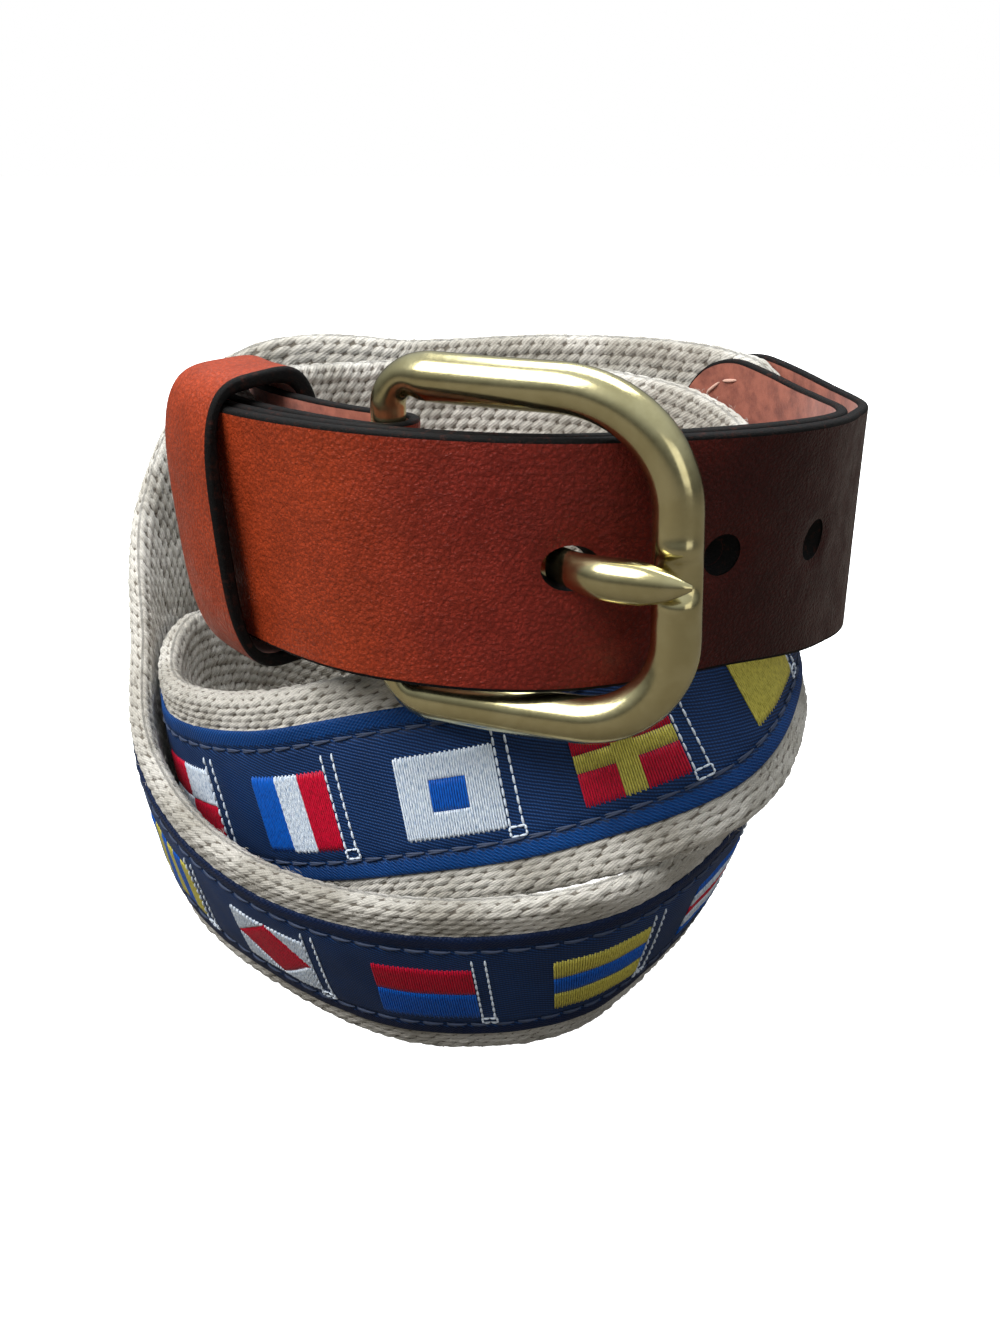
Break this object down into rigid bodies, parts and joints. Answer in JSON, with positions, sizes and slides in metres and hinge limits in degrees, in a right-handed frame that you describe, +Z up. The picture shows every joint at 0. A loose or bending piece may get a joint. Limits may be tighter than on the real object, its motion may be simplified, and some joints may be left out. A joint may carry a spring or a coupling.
{
  "type": "web belt",
  "caption": "Fastened web belt coiled into stacked turns: cotton webbing, signal-flag ribbon, leather billet, chape and keeper, brass heel-bar buckle.",
  "frame": {"origin": "centre of the outline in plan, at the level the belt rests on", "axes": "+Z up, the buckle faces -Y, +Y to the back of the coil"},
  "size_m": [0.1078, 0.1102, 0.0998],
  "materials": {
    "webbing": "oatmeal cotton webbing, matte",
    "ribbon": "navy twill ribbon with woven signal flags",
    "leather": "chestnut bridle leather, low sheen, black edges",
    "brass": "satin antique brass"
  },
  "bodies": {
    "root": {"webbing": "webbing", "flag_ribbon": "ribbon", "billet": "leather", "chape": "leather", "keeper": "leather", "buckle_frame": "brass", "prong": "brass"}
  },
  "joints": []
}
